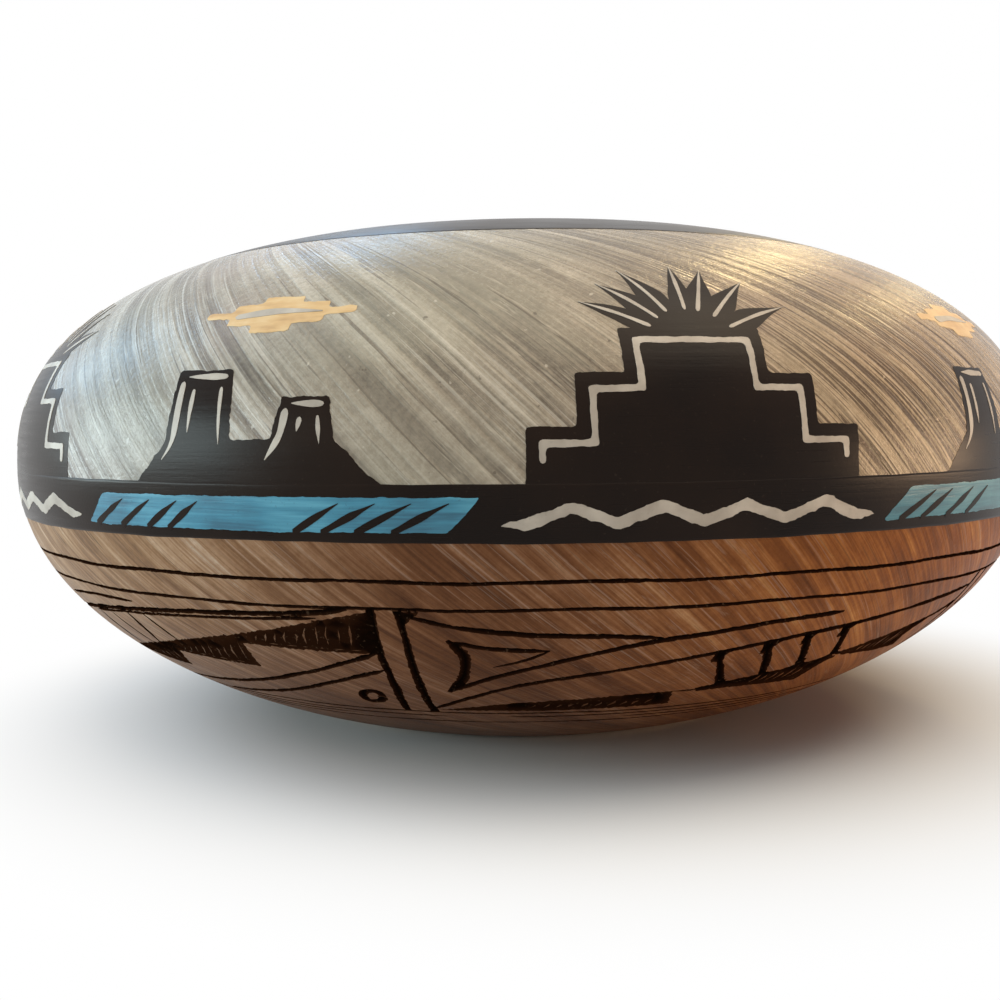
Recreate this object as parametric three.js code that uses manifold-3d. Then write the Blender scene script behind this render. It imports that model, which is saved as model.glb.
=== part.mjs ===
// A squat pottery pot: a fired clay vessel with a wide round belly, a flat foot and an open mouth.
// Its outside is coated in zones, as the potter coats it: a black rim band over the lip, brushed grey
// slip on the shoulder, a black belt round the belly, and brown slip below the belt for the etching.
// Painted on top are a broken turquoise stripe, white zigzag lines, stepped terraces, buttes and cloud bars.
// Millimetres, +Z up. The origin is the centre of the foot, and the front of the pot faces -Y.
import * as THREE from "three";
import { mergeVertices } from "three/addons/utils/BufferGeometryUtils.js";
import Module from "manifold-3d";

// The finished outside: one curve rises from the belly to the lip, another drops from it to the foot
const BELLY_RADIUS = 89;
const SHOULDER_RISE = 41.2; // belly to where the shoulder curve would meet the axis
const SHOULDER_POWER = 2.4; // fullness of the shoulder curve, where 2 is an ellipse
const BOWL_DROP = 48; // belly to where the lower curve would meet the axis
const BOWL_POWER = 2;
const SHOULDER_END_RADIUS = 47; // the lip rounds over from here
const FOOT_RADIUS = 37.5; // flat face that the pot stands on
const BARE_FOOT_EDGE = 2; // ring of uncoated clay beside the foot
const WALL = 5;

// Coats and paint
const COAT = 0.4; // slip and the two black bands, laid side by side on the clay
const PAINT = 0.3; // marks painted over a coat
const RIM_BAND_REACH = 13.3; // the black rim band, measured outwards from where the lip rounds over
const BELT_DEPTH = 7.1; // the belt runs from the belly down by this much
const STRIPE_TOP_MARGIN = 1.6; // black left above the turquoise stripe, and below it
const STRIPE_FOOT_MARGIN = 1.4;

// The painted frieze: each repeat has one terrace over a zigzag line, and one pair of buttes between
// a length of the stripe and a cloud bar
const REPEATS = 5;
const FIRST_TERRACE = 14; // degrees to the right of the front
const STRIPE_LENGTH = 58;
const STRIPE_SLANT = 4; // lean of the stripe's ends
const ZIGZAG_GAP = 2.080164; // black left between the line's tips and the stripe: its teeth run for 42
const ZIGZAG_TEETH = 4;
const ZIGZAG_RISE = 2; // height of a tooth
const ZIGZAG_STROKE = 1.5; // height of the line itself
const ZIGZAG_FOOT_MARGIN = 1.6; // black left below the line
const ZIGZAG_TAIL = 3; // the line runs out to a point at each end
const TERRACE_STEPS = [21, 15, 9]; // half width of each step, from the lowest up
const TERRACE_STEP_HEIGHT = 6.4;
const FEATHERS = 7;
const FEATHER_SPREAD = 108; // degrees from the first feather to the last
const FEATHER_LENGTH = 15.5;
const FEATHER_ROOT = 6; // feathers part from each other this far from their common centre
const FEATHER_SINK = 3.2; // that centre, below the terrace's top
const BUTTE_FEET = [-18, 18]; // ends of the shared skirt of rubble, left and right
const BUTTE_SKIRT = 5.2; // height of the skirt
const TALL_BUTTE = { left: -11.5, right: -3, top: 14.2 };
const LOW_BUTTE = { left: 4.5, right: 11, top: 10.4 };
const BUTTE_LEAN = 0.9; // a cliff is this much wider at its foot, on each side
const CLOUD_HEIGHT = 23; // cloud bar's centre line, above the belly
const CLOUD_HALF_WIDTHS = [11, 7, 3]; // of its layers, from the widest
const CLOUD_LAYER = 1.3; // height of one layer

// Faces round the pot and along its curves
const SEGMENTS = 48;
const SHOULDER_STEPS = 6;
const BAND_STEPS = 3;
const BELT_STEPS = 2;
const BOWL_STEPS = 6;
const LIP_STEPS = 5;
const ARC_STEPS = 400; // for measuring along the shoulder

const wasm = await Module();
wasm.setup();

const shoulder = { rise: SHOULDER_RISE, power: SHOULDER_POWER, side: 1 };
const bowl = { rise: BOWL_DROP, power: BOWL_POWER, side: -1 };

// The angle along a curve, from 0 at the belly to a right angle at the axis.
const angleAtRadius = (curve, radius) => Math.acos((radius / BELLY_RADIUS) ** (curve.power / 2));
const angleAtHeight = (curve, height) => Math.asin((height / curve.rise) ** (curve.power / 2));
const heightAt = (curve, angle) => curve.rise * Math.sin(angle) ** (2 / curve.power);

const footAngle = angleAtRadius(bowl, FOOT_RADIUS);
const bareAngle = angleAtRadius(bowl, FOOT_RADIUS + BARE_FOOT_EDGE);
const beltAngle = angleAtHeight(bowl, BELT_DEPTH);
const bandAngle = angleAtRadius(shoulder, SHOULDER_END_RADIUS + RIM_BAND_REACH);
const lipAngle = angleAtRadius(shoulder, SHOULDER_END_RADIUS);
const bellyHeight = heightAt(bowl, footAngle);

// A curve's outward normal, as (radius, height above the foot).
function normalAt(curve, angle) {
  const radial = Math.cos(angle) ** (2 - 2 / curve.power) / BELLY_RADIUS;
  const axial = Math.sin(angle) ** (2 - 2 / curve.power) / curve.rise;
  return new THREE.Vector2(radial, curve.side * axial).normalize();
}

// A point under the finished surface, as (radius, height above the foot).
function pointAt(curve, angle, depth) {
  const radius = BELLY_RADIUS * Math.cos(angle) ** (2 / curve.power);
  const height = bellyHeight + curve.side * heightAt(curve, angle);
  return new THREE.Vector2(radius, height).addScaledVector(normalAt(curve, angle), -depth);
}

// Points from one angle of a curve to another, both ends included.
function run(curve, from, to, steps, depth) {
  const angles = Array.from({ length: steps + 1 }, (_, i) => from + ((to - from) * i) / steps);
  return angles.map((angle) => pointAt(curve, angle, depth));
}

// The lip's half circle from the outside of the wall to its inside, at a depth under the finished surface.
function lipArc(depth) {
  const half = WALL / 2;
  const centre = pointAt(shoulder, lipAngle, half);
  const start = normalAt(shoulder, lipAngle).angle();
  return Array.from({ length: LIP_STEPS + 1 }, (_, i) => {
    const turn = start + (Math.PI * i) / LIP_STEPS;
    return new THREE.Vector2(Math.cos(turn), Math.sin(turn)).multiplyScalar(half - depth).add(centre);
  });
}

// Zones of the outside, each listed upwards
const lowerZone = (depth) => run(bowl, bareAngle, beltAngle, BOWL_STEPS, depth);
const beltZone = (depth) => run(bowl, beltAngle, 0, BELT_STEPS, depth);
const shoulderZone = (depth) => run(shoulder, 0, bandAngle, SHOULDER_STEPS, depth);
const rimTop = (depth) => run(shoulder, bandAngle, lipAngle, BAND_STEPS, depth);
const rimZone = (depth) => [...rimTop(depth), ...lipArc(depth).slice(1)];

// A solid turned about +Z from an outline of (radius, height) points, with angle 0 at the front.
function turned(outline) {
  return new THREE.LatheGeometry(outline, SEGMENTS).rotateX(Math.PI / 2);
}

// A ring between two depths of a zone.
function ring(zone, outerDepth, innerDepth) {
  const outer = zone(outerDepth);
  return turned([...outer, ...zone(innerDepth).reverse(), outer[0]]);
}

// Solids for cutting, and meshes back from them
function solid(geometry) {
  const bare = geometry.clone();
  bare.deleteAttribute("normal");
  bare.deleteAttribute("uv");
  const { index, attributes } = mergeVertices(bare, 1e-4);
  const vertProperties = attributes.position.array;
  const triVerts = new Uint32Array(index.array);
  return new wasm.Manifold(new wasm.Mesh({ numProp: 3, vertProperties, triVerts }));
}

function geometryOf(manifold) {
  const { vertProperties, triVerts } = manifold.getMesh();
  const geometry = new THREE.BufferGeometry();
  geometry.setAttribute("position", new THREE.BufferAttribute(vertProperties, 3));
  geometry.setIndex(new THREE.BufferAttribute(triVerts, 1));
  geometry.computeVertexNormals();
  return geometry;
}

// Height above the foot of a point that lies so far along the shoulder curve from the belly.
const shoulderArc = (() => {
  const points = run(shoulder, 0, lipAngle, ARC_STEPS, 0);
  let length = 0;
  return points.map((point, i) => {
    length += i ? point.distanceTo(points[i - 1]) : 0;
    return { length, height: point.y };
  });
})();

function heightAlongShoulder(distance) {
  const next = shoulderArc.findIndex((step) => step.length >= distance);
  if (next <= 0) return bellyHeight + distance;
  const [a, b] = [shoulderArc[next - 1], shoulderArc[next]];
  return a.height + ((b.height - a.height) * (distance - a.length)) / (b.length - a.length);
}

// A painted mark: the part of a paint film that lies inside an outline, seen square on from outside.
// Outline points are (along the pot, height above the foot).
function mark(film, outline, degrees) {
  const shape = new THREE.Shape(outline.map(([x, z]) => new THREE.Vector2(x, z)));
  const reach = BELLY_RADIUS + 2 * PAINT;
  const prism = new THREE.ExtrudeGeometry(shape, { depth: reach, bevelEnabled: false, curveSegments: 1 });
  prism.rotateX(Math.PI / 2).rotateZ(THREE.MathUtils.degToRad(degrees));
  return geometryOf(film.intersect(solid(prism)));
}

const onShoulder = (points) => points.map(([x, y]) => [x, heightAlongShoulder(y)]);

// A stepped terrace with a fan of feathers on its top
function terraceOutline() {
  const right = TERRACE_STEPS.flatMap((half, i) => [
    [half, i * TERRACE_STEP_HEIGHT],
    [half, (i + 1) * TERRACE_STEP_HEIGHT],
  ]);
  const top = TERRACE_STEPS.length * TERRACE_STEP_HEIGHT;
  const pitch = FEATHER_SPREAD / (FEATHERS - 1) / 2;
  const fan = Array.from({ length: 2 * FEATHERS + 1 }, (_, i) => {
    const angle = THREE.MathUtils.degToRad(FEATHER_SPREAD / 2 + pitch - i * pitch);
    const reach = i % 2 ? FEATHER_LENGTH : FEATHER_ROOT;
    const height = top - FEATHER_SINK + reach * Math.cos(angle);
    return [reach * Math.sin(angle), Math.max(top, height)];
  });
  const left = right.map(([x, y]) => [-x, y]).reverse();
  return [...right, ...fan, ...left];
}

// Two flat-topped buttes on one skirt of rubble
function butteOutline() {
  const cliff = ({ left, right, top }) => [
    [left - BUTTE_LEAN, BUTTE_SKIRT],
    [left, top],
    [right, top],
    [right + BUTTE_LEAN, BUTTE_SKIRT],
  ];
  const [left, right] = BUTTE_FEET;
  return [[left, 0], ...cliff(TALL_BUTTE), ...cliff(LOW_BUTTE), [right, 0]].reverse();
}

// A cloud bar: layers that step in, upwards and downwards, from the widest
function cloudOutline() {
  const up = CLOUD_HALF_WIDTHS.flatMap((half, i) => [
    [half, (i - 0.5) * CLOUD_LAYER],
    [half, (i + 0.5) * CLOUD_LAYER],
  ]);
  const down = up.slice(2).map(([x, y]) => [x, -y]).reverse();
  const right = [...down, ...up];
  const left = right.map(([x, y]) => [-x, y]).reverse();
  return [...right, ...left].map(([x, y]) => [x, y + CLOUD_HEIGHT]);
}

// One length of the turquoise stripe, with leaning ends
function stripeOutline() {
  const half = STRIPE_LENGTH / 2;
  const top = bellyHeight - STRIPE_TOP_MARGIN;
  const foot = bellyHeight - BELT_DEPTH + STRIPE_FOOT_MARGIN;
  return [[-half, foot], [half - STRIPE_SLANT, foot], [half, top], [-half + STRIPE_SLANT, top]];
}

// A white line of low teeth along the belt, under a terrace, in the room between two lengths of the stripe
function zigzagOutline() {
  const foot = bellyHeight - BELT_DEPTH + ZIGZAG_FOOT_MARGIN;
  const stripeTurn = Math.asin(STRIPE_LENGTH / 2 / BELLY_RADIUS);
  const tail = BELLY_RADIUS * Math.sin(Math.PI / REPEATS - stripeTurn - ZIGZAG_GAP / BELLY_RADIUS);
  const half = tail - ZIGZAG_TAIL;
  const pitch = half / ZIGZAG_TEETH;
  const lower = Array.from({ length: 2 * ZIGZAG_TEETH + 1 }, (_, i) => {
    return [-half + i * pitch, foot + (i % 2) * ZIGZAG_RISE];
  });
  const upper = lower.map(([x, y]) => [x, y + ZIGZAG_STROKE]).reverse();
  const tailHeight = foot + ZIGZAG_STROKE / 2;
  return [[-tail, tailHeight], ...lower, [tail, tailHeight], ...upper];
}

// The clay itself: the coats' undersides outside, bare clay at the foot and inside
function clayOutline() {
  const inside = [
    ...run(bowl, footAngle, 0, BOWL_STEPS, WALL),
    ...run(shoulder, 0, lipAngle, SHOULDER_STEPS, WALL).slice(1),
  ];
  const outside = [
    ...run(bowl, footAngle, bareAngle, 1, 0),
    ...lowerZone(COAT),
    ...beltZone(COAT).slice(1),
    ...shoulderZone(COAT).slice(1),
    ...rimZone(COAT).slice(1),
  ];
  const floor = inside[0].y;
  return [new THREE.Vector2(0, 0), ...outside, ...inside.reverse(), new THREE.Vector2(0, floor)];
}

const clay = { color: 0xb59a80, roughness: 0.85 };
const greySlip = { color: 0xafa596, roughness: 0.5 };
const brownSlip = { color: 0x8a664d, roughness: 0.55 };
const blackPaint = { color: 0x2a2421, roughness: 0.35 };
const turquoisePaint = { color: 0x4589a1, roughness: 0.4 };
const ochrePaint = { color: 0xd9b57f, roughness: 0.5 };
const whitePaint = { color: 0xc9bfb2, roughness: 0.5 };

const pot = new THREE.Group();

function add(name, geometry, finish) {
  const mesh = new THREE.Mesh(geometry, new THREE.MeshStandardMaterial({ ...finish, metalness: 0 }));
  mesh.name = name;
  pot.add(mesh);
}

add("clay_body", turned(clayOutline()), clay);
add("lower_slip", ring(lowerZone, 0, COAT), brownSlip);
add("belly_belt", ring(beltZone, 0, COAT), blackPaint);
add("shoulder_slip", ring(shoulderZone, 0, COAT), greySlip);
add("rim_band", ring(rimZone, 0, COAT), blackPaint);

const shoulderFilm = solid(ring(shoulderZone, -PAINT, 0));
const beltFilm = solid(ring(beltZone, -PAINT, 0));
for (let i = 0; i < REPEATS; i++) {
  const terrace = FIRST_TERRACE + (i * 360) / REPEATS;
  const between = terrace + 180 / REPEATS;
  add(`painted_terrace_${i + 1}`, mark(shoulderFilm, onShoulder(terraceOutline()), terrace), blackPaint);
  add(`white_zigzag_${i + 1}`, mark(beltFilm, zigzagOutline(), terrace), whitePaint);
  add(`painted_buttes_${i + 1}`, mark(shoulderFilm, onShoulder(butteOutline()), between), blackPaint);
  add(`cloud_bar_${i + 1}`, mark(shoulderFilm, onShoulder(cloudOutline()), between), ochrePaint);
  add(`turquoise_stripe_${i + 1}`, mark(beltFilm, stripeOutline(), between), turquoisePaint);
}

export default pot;
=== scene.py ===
import math
import random

import bpy
import numpy as np
from mathutils import Matrix, Vector, geometry, kdtree


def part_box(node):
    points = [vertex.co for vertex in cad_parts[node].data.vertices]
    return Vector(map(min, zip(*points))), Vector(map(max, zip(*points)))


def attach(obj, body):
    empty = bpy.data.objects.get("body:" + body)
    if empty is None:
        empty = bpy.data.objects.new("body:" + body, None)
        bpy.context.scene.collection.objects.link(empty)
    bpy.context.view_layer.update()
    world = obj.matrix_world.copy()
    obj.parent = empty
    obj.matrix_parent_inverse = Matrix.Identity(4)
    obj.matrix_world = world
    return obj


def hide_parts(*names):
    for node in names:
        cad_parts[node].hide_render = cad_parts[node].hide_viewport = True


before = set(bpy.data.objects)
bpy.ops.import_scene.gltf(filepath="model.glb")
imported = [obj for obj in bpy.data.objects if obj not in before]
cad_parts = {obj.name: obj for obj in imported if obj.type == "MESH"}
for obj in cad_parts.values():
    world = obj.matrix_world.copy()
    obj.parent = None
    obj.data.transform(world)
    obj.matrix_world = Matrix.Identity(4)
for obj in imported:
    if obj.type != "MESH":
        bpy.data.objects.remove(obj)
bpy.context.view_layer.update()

# The clay vessel: one hollow piece of fired clay with a flat foot, thrown or coiled and then scraped round.
# It shows bare inside and under the foot. Everywhere else coats of slip and paint cover it.
MM = 0.001
BELLY_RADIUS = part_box("shoulder_slip")[1].x
BELLY_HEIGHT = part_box("belly_belt")[1].z
SHOULDER_RISE = 41.2 * MM
SHOULDER_POWER = 2.4
BOWL_DROP = 48 * MM
BOWL_POWER = 2
SHOULDER_END_RADIUS = 47 * MM
FOOT_RADIUS = 37.5 * MM
FOOT_ROUNDING = 0.7 * MM
BARE_FOOT_EDGE = 2 * MM
WALL = 5 * MM
COAT_ROOM = 0.9 * MM
CURVE_STEPS = 4001


def half_profile(rise, power, side, last_radius):
    """One curve of the outside, from the belly on: rows of arc, radius, height and outward normal."""
    angle = np.linspace(0, math.acos((last_radius / BELLY_RADIUS) ** (power / 2)), CURVE_STEPS)
    radius = BELLY_RADIUS * np.cos(angle) ** (2 / power)
    height = rise * np.sin(angle) ** (2 / power)
    out = np.cos(angle) ** (2 - 2 / power) / BELLY_RADIUS
    up = np.sin(angle) ** (2 - 2 / power) / rise
    size = np.hypot(out, up)
    arc = np.concatenate([[0], np.cumsum(np.hypot(np.diff(radius), np.diff(height)))])
    return np.array([side * arc, radius, BELLY_HEIGHT + side * height, out / size, side * up / size])


shoulder_half = half_profile(SHOULDER_RISE, SHOULDER_POWER, 1, SHOULDER_END_RADIUS)
bowl_half = half_profile(BOWL_DROP, BOWL_POWER, -1, FOOT_RADIUS)
profile = np.concatenate([bowl_half[:, :0:-1], shoulder_half], axis=1)
FOOT_ARC = profile[0][0]
LIP_ARC = profile[0][-1]


def along_profile(arc):
    """Radius, height and outward normal of the outside, at an arc up (+) or down (-) from the belly."""
    return [np.interp(arc, profile[0], row) for row in profile[1:]]


def on_pot(turn, arc, lift=0.0):
    """Points on the outside, by turn from the front (radians, to the right), arc and lift off it."""
    radius, height, out, up = along_profile(arc)
    radius = radius + lift * out
    return np.stack([radius * np.sin(turn), -radius * np.cos(turn), height + lift * up], axis=-1)


def arc_at_radius(half, radius):
    order = np.argsort(half[1])
    return float(np.interp(radius, half[1][order], half[0][order]))


def arc_at_height(half, height):
    order = np.argsort(half[2])
    return float(np.interp(height, half[2][order], half[0][order]))


finishes = {}


def new_piece(name, points, faces, slot, *nodes):
    """A smooth mesh that rides on the pot, wears a slot's finish and stands for the named CAD nodes."""
    mesh = bpy.data.meshes.new(name)
    mesh.from_pydata([tuple(p) for p in points], [], faces)
    mesh.shade_smooth()
    mesh.materials.append(finishes[slot])
    piece = bpy.data.objects.new(name, mesh)
    bpy.context.collection.objects.link(piece)
    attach(piece, "root")
    if nodes:
        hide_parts(*nodes)
    return piece


def turned_faces(rows, columns, close_rows):
    """Quads of a turned sheet whose points run row by row, each row once round the pot."""
    here = np.arange(columns)
    after = (here + 1) % columns
    faces = []
    for row in range(rows if close_rows else rows - 1):
        low, high = row * columns, (row + 1) % rows * columns
        faces += np.stack([low + here, low + after, high + after, high + here], axis=1).tolist()
    return faces


class Wire:
    """A socket of a material's nodes, so that shader maths reads as arithmetic."""

    def __init__(self, socket):
        self.socket = socket

    def make(self, kind, settings=None, sockets=None, out=0):
        """A new node of a kind: its settings first, then values or wires for its sockets."""
        tree = self.socket.id_data
        node = tree.nodes.new(kind)
        for key, value in (settings or {}).items():
            if key == "stops":
                while len(node.color_ramp.elements) < len(value):
                    node.color_ramp.elements.new(0.5)
                for element, (position, tone) in zip(node.color_ramp.elements, value):
                    element.position = position
                    element.color = colour(*tone)
            else:
                setattr(node, key, value)
        for key, value in (sockets or {}).items():
            if isinstance(value, Wire):
                tree.links.new(value.socket, node.inputs[key])
            else:
                node.inputs[key].default_value = value
        return Wire(node.outputs[out])

    def maths(self, operation, first, second):
        kind = "ShaderNodeVectorMath" if self.socket.type in ("VECTOR", "RGBA") else "ShaderNodeMath"
        return self.make(kind, {"operation": operation}, {0: first, 1: second})

    def __add__(self, other):
        return self.maths("ADD", self, other)

    def __sub__(self, other):
        return self.maths("SUBTRACT", self, other)

    def __rsub__(self, other):
        return self.maths("SUBTRACT", other, self)

    def __mul__(self, other):
        return self.maths("MULTIPLY", self, other)

    __radd__ = __add__
    __rmul__ = __mul__

    def noise(self, scale, detail=2.0, roughness=0.5):
        """Cloudy noise from 0 to 1, with this wire as its place."""
        sockets = {"Vector": self, "Scale": scale, "Detail": detail, "Roughness": roughness}
        return self.make("ShaderNodeTexNoise", {}, sockets)

    def between(self, low, high):
        """0 below low and 1 above high, smooth between."""
        sockets = {"Value": self, "From Min": low, "From Max": high}
        return self.make("ShaderNodeMapRange", {"interpolation_type": "SMOOTHSTEP"}, sockets)

    def mix(self, first, second):
        """From the first colour to the second as this wire goes from 0 to 1."""
        return self.make("ShaderNodeMix", {"data_type": "RGBA"}, {0: self, 6: first, 7: second}, out=2)

    def ramp(self, *stops):
        return self.make("ShaderNodeValToRGB", {"stops": stops}, {0: self})

    def bump(self, strength, distance):
        return self.make("ShaderNodeBump", {}, {"Strength": strength, "Distance": distance, "Height": self})

    def to(self, shader, name):
        self.socket.id_data.links.new(self.socket, shader.inputs[name])


def colour(red, green, blue):
    """A colour as written on a screen, from 0 to 255, as the shader wants it."""
    def linear(part):
        part = part / 255
        return part / 12.92 if part <= 0.04045 else ((part + 0.055) / 1.055) ** 2.4
    return linear(red), linear(green), linear(blue), 1.0


def new_finish(slot, **sockets):
    """Starts the material of a slot: gives its shader, and a wire with the place on the object."""
    finishes[slot] = bpy.data.materials.new(slot)
    finishes[slot].use_nodes = True
    nodes = finishes[slot].node_tree.nodes
    shader = nodes["Principled BSDF"]
    for key, value in sockets.items():
        shader.inputs[key.replace("_", " ").title().replace("Ior", "IOR")].default_value = value
    return shader, Wire(nodes.new("ShaderNodeTexCoord").outputs["Object"])


shader, place = new_finish("bare_clay", roughness=0.86)
clouding = place.noise(45, 4)
grains = place.noise(1500, 3, 0.7)
tone = clouding.ramp((0.3, (170, 142, 118)), (0.55, (184, 157, 132)), (0.75, (196, 172, 148)))
grains.between(0.62, 0.72).mix(tone, colour(128, 100, 80)).to(shader, "Base Color")
(clouding * 0.12 + 0.78).to(shader, "Roughness")
(grains * 0.4 + clouding).bump(0.25, 0.4 * MM).to(shader, "Normal")

VESSEL_COLUMNS = 192
FOOT_ROWS, BARE_ROWS, COVERED_ROWS = 10, 6, 60
CLAY_LIP_ROWS, INSIDE_ROWS, FLOOR_ROWS = 10, 150, 12
THROWING_RING = 6.5 * MM
THROWING_DEPTH = 0.16 * MM
lip_radius, lip_height, lip_out, lip_up = along_profile(LIP_ARC)
LIP_CENTRE = np.array([lip_radius - WALL / 2 * lip_out, lip_height - WALL / 2 * lip_up])
LIP_START = math.atan2(lip_up, lip_out)


def vessel_profile():
    """The outline from the foot's centre, up the outside, over the lip and down to the inside floor."""
    flat = np.linspace(0, FOOT_RADIUS - 2 * FOOT_ROUNDING, FOOT_ROWS)
    foot = np.stack([flat, np.zeros(FOOT_ROWS)], axis=1)
    rounding = FOOT_ROUNDING * np.array([[-1.2, 0], [-0.5, 0.06], [0, 0.25]]) + (FOOT_RADIUS, 0)
    bare_top = arc_at_radius(bowl_half, FOOT_RADIUS + BARE_FOOT_EDGE)
    bare_arcs = np.linspace(FOOT_ARC + FOOT_ROUNDING, bare_top + 1 * MM, BARE_ROWS)
    bare = np.stack(along_profile(bare_arcs)[:2], axis=1)
    radius, height, out, up = along_profile(np.linspace(bare_top + 1.2 * MM, LIP_ARC, COVERED_ROWS))
    covered = np.stack([radius - COAT_ROOM * out, height - COAT_ROOM * up], axis=1)
    angle = LIP_START + np.pi * np.linspace(0.05, 1, CLAY_LIP_ROWS)
    lip = LIP_CENTRE + (WALL / 2 - COAT_ROOM) * np.stack([np.cos(angle), np.sin(angle)], axis=1)
    arcs = np.linspace(LIP_ARC, FOOT_ARC, INSIDE_ROWS)
    radius, height, out, up = along_profile(arcs)
    wall = WALL + THROWING_DEPTH * np.cos(arcs * 2 * np.pi / THROWING_RING)
    inside = np.stack([radius - wall * out, height - wall * up], axis=1)
    floor_radius, floor_height = inside[-1]
    floor = np.linspace(floor_radius, 0, FLOOR_ROWS)[1:]
    floor = np.stack([floor, np.full(len(floor), floor_height)], axis=1)
    return np.concatenate([foot, rounding, bare, covered, lip, inside, floor])


outline = vessel_profile()
rings = outline[1:-1]
turn = np.linspace(0, 2 * np.pi, VESSEL_COLUMNS, endpoint=False)
points = [[r * np.sin(turn), -r * np.cos(turn), np.full(VESSEL_COLUMNS, z)] for r, z in rings]
points = [*np.concatenate([np.stack(p, axis=1) for p in points])]
points += [(0, 0, outline[0][1]), (0, 0, outline[-1][1])]
faces = turned_faces(len(rings), VESSEL_COLUMNS, False)
last_ring = (len(rings) - 1) * VESSEL_COLUMNS
for i in range(VESSEL_COLUMNS):
    after = (i + 1) % VESSEL_COLUMNS
    faces.append([len(points) - 2, after, i])
    faces.append([len(points) - 1, last_ring + i, last_ring + after])
new_piece("vessel", points, faces, "bare_clay", "clay_body")

# The shoulder's coat: grey-beige slip brushed on in long leaning strokes that follow one another round the
# pot, each bristle leaving its own light or dark line, and then rubbed to a satin gloss. Painted cool light
# tints it on the left and painted warm light on the right, and its streaks are stronger on the right as
# painted shade and highlight of the brush marks where light grazes that side.
BELT_LAP = 1.2 * MM
COAT_DEPTH = 0.8 * MM
SLIP_COLUMNS = 384
SLIP_ROWS = 110
UNDER_ROWS = 8
HAND_WANDER = 0.014
# Where the painted cool light on the left and warm light on the right reach, to the side and up.
COOL_LIGHT_REACH = (8 * MM, 62 * MM)
COOL_LIGHT_RISE = (2 * MM, 36 * MM)
WARM_LIGHT_REACH = (-6 * MM, 56 * MM)
RIM_BAND_ARC = arc_at_radius(shoulder_half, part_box("rim_band")[1].x)
brush_lean = np.concatenate([[0], np.cumsum(np.diff(profile[0]) / profile[1][1:])])
brush_lean -= np.interp(0, profile[0], brush_lean)


def brushed(piece, turn, arc):
    """Marks each point with its place across and along the brush strokes, which lean down to the right."""
    lean = turn + np.interp(arc, profile[0], brush_lean)
    lay = np.stack([np.cos(lean), np.sin(lean), arc / BELLY_RADIUS], axis=-1)
    mark = piece.data.attributes.new("brush", "FLOAT_VECTOR", "POINT")
    mark.data.foreach_set("vector", lay.astype(np.float32).ravel())


def brush_lay(place):
    """The mark that brushed made, with the small wander of a hand."""
    lay = place.make("ShaderNodeAttribute", {"attribute_name": "brush"}, out="Vector")
    return lay + place.noise(38, 3) * HAND_WANDER


def streaks(brush, across, along, detail=2.0, roughness=0.5):
    """Noise drawn out along the brush strokes: how many streaks across, and how often they change along."""
    return (brush * (across, across, along)).noise(1.0, detail, roughness)


def sideways(place):
    """How far a point lies to the right of the pot's middle."""
    return place.make("ShaderNodeSeparateXYZ", {}, {0: place}, out="X")


def overlaid(tone, *layers):
    """A colour with others laid over it: each has a mask, the most that it covers, and its own colour."""
    for mask, most, over in layers:
        tone = (mask * most).mix(tone, colour(*over))
    return tone


def painted_side_light(tone, side, left, right):
    """Light painted into a colour: times one tint on the pot's left and another on its right."""
    rise = Wire(side.socket.node.outputs["Z"])
    cool_light = (side * -1).between(*COOL_LIGHT_REACH) * rise.between(*COOL_LIGHT_RISE)
    tone = cool_light.mix(tone, tone * left)
    return side.between(*WARM_LIGHT_REACH).mix(tone, tone * right)


shader, place = new_finish("grey_slip", roughness=0.3, specular_ior_level=0.2)
side = sideways(place)
brush = brush_lay(place)
patches = streaks(brush, 5, 1.6, 3)
loads = streaks(brush, 12, 1.8)
bands = streaks(brush, 36, 2.2)
lines = streaks(brush, 105, 4.2)
ridges = streaks(brush, 150, 3.2, 1)
combed = streaks(brush, 200, 4.5)
hairs = streaks(brush, 300, 9, 2, 0.6)
dry = streaks(brush, 95, 17, 3, 0.7)
worn = place.noise(26, 3)
blush = place.noise(33)
mottle = place.noise(190, 4, 0.7)
grit = place.noise(1300, 3, 0.7)
pits = place.noise(800)
flecks = place.noise(640)
# Stronger streaks on the right: brush marks, partly painted shade and highlight where light grazes that side.
streakier_side = side.between(-10 * MM, 48 * MM)
edges = bands.between(0.42, 0.56)
hold = patches.between(0.34, 0.62) * 0.65 + 0.35
layers = edges * 0.22 + bands * 0.46 + lines * 0.54 + hairs * 0.42 - 0.82
value = layers * hold + loads * 0.6 + mottle * 0.28 + grit * 0.3 - 0.09
tone = value.ramp(
    (0.20, (104, 94, 84)),
    (0.38, (140, 129, 115)),
    (0.52, (164, 152, 136)),
    (0.66, (188, 176, 160)),
    (0.84, (216, 206, 192)),
)
tone = overlaid(
    tone,
    (blush.between(0.5, 0.66), 0.3, (176, 152, 138)),
    ((1 - blush).between(0.5, 0.66), 0.3, (156, 154, 138)),
    (lines.between(0.60, 0.68) * bands.between(0.36, 0.5), 0.6, (82, 71, 61)),
    (ridges.between(0.58, 0.68) * patches.between(0.36, 0.56), 0.55, (216, 208, 196)),
    (dry.between(0.56, 0.68) * worn.between(0.44, 0.6), 0.4, (214, 202, 184)),
    (combed.between(0.50, 0.58) * streakier_side, 0.85, (82, 66, 54)),
    ((1 - combed).between(0.55, 0.65) * streakier_side, 0.4, (214, 197, 178)),
    (pits.between(0.72, 0.77), 0.55, (84, 73, 63)),
    (flecks.between(0.72, 0.77), 0.5, (224, 214, 200)),
    (grit.between(0.60, 0.74), 0.35, (112, 99, 86)),
)
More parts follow.
